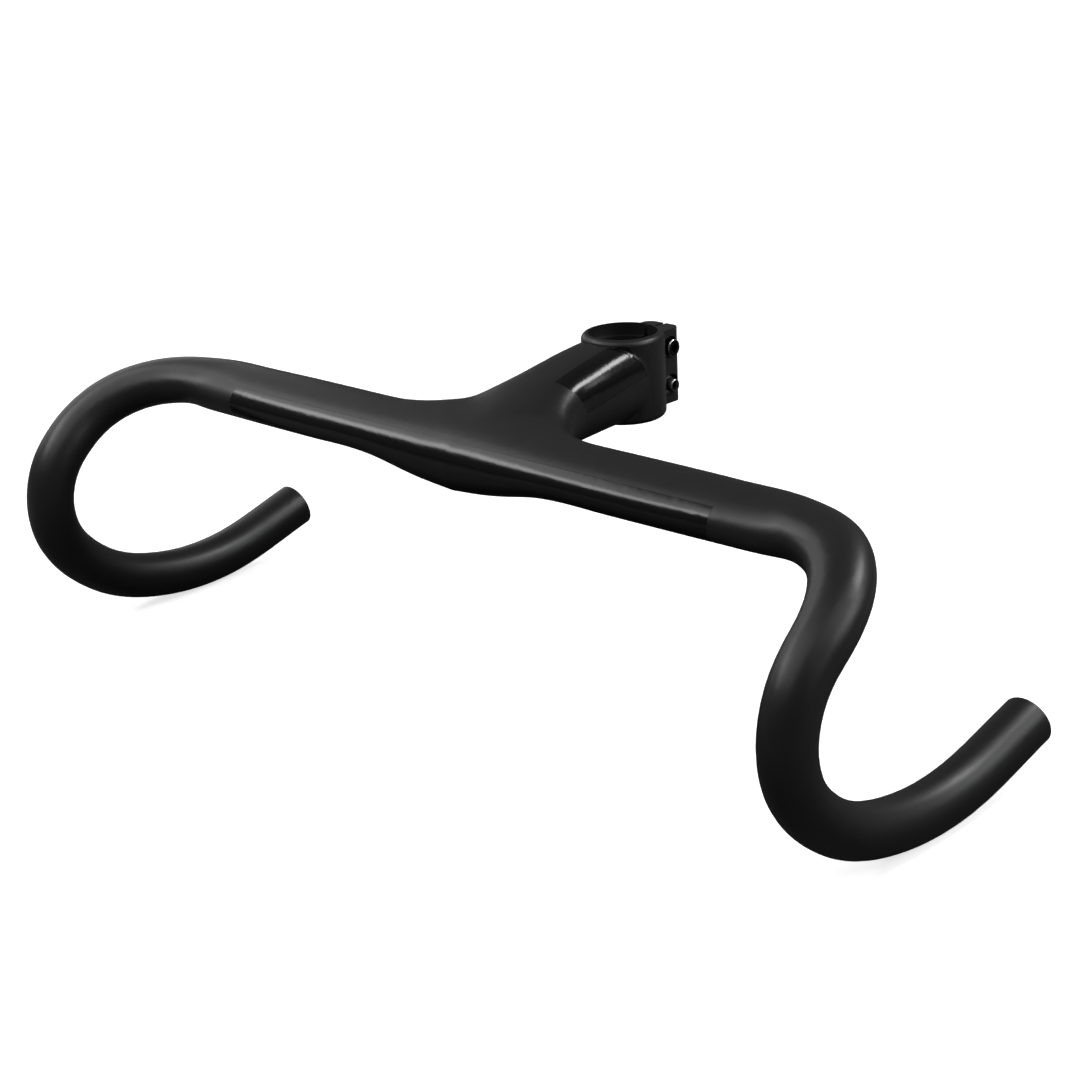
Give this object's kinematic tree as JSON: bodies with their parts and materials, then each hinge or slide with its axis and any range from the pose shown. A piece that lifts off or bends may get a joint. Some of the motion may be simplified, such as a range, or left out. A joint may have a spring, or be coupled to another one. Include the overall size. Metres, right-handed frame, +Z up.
{
  "type": "integrated bicycle handlebar and stem",
  "caption": "One-piece drop handlebar and stem: flat wing tops, round hooked drops, a split steerer clamp with cross bolts, and a cover plate under the nose.",
  "frame": {"origin": "centre of the steerer clamp's bore at its bottom face", "axes": "+Z up along the steerer, +Y forward along the stem to the bar, +X to the rider's right"},
  "size_m": [0.5032, 0.2203, 0.1592],
  "materials": {
    "carbon_moulding": "carbon-fibre laminate under a matte black coat, with glossy fields on the stem's left side and along the wing's leading edge",
    "black_steel": "black-oxide steel bolts, worn bright at the rims",
    "plain_steel": "zinc-plated steel washers and sleeve nuts",
    "cover_plastic": "moulded glass-filled nylon, fine matte grain",
    "bare_aluminium": "turned aluminium sleeves, bonded in"
  },
  "bodies": {
    "root": {"barstem": "carbon_moulding", "mount_cover": "cover_plastic", "pinch_bolt_upper": "black_steel", "pinch_washer_upper": "plain_steel", "pinch_nut_upper": "plain_steel", "pinch_bolt_lower": "black_steel", "pinch_washer_lower": "plain_steel", "pinch_nut_lower": "plain_steel", "cover_screw_left": "black_steel", "cover_insert_left": "bare_aluminium", "cover_screw_right": "black_steel", "cover_insert_right": "bare_aluminium"}
  },
  "joints": []
}
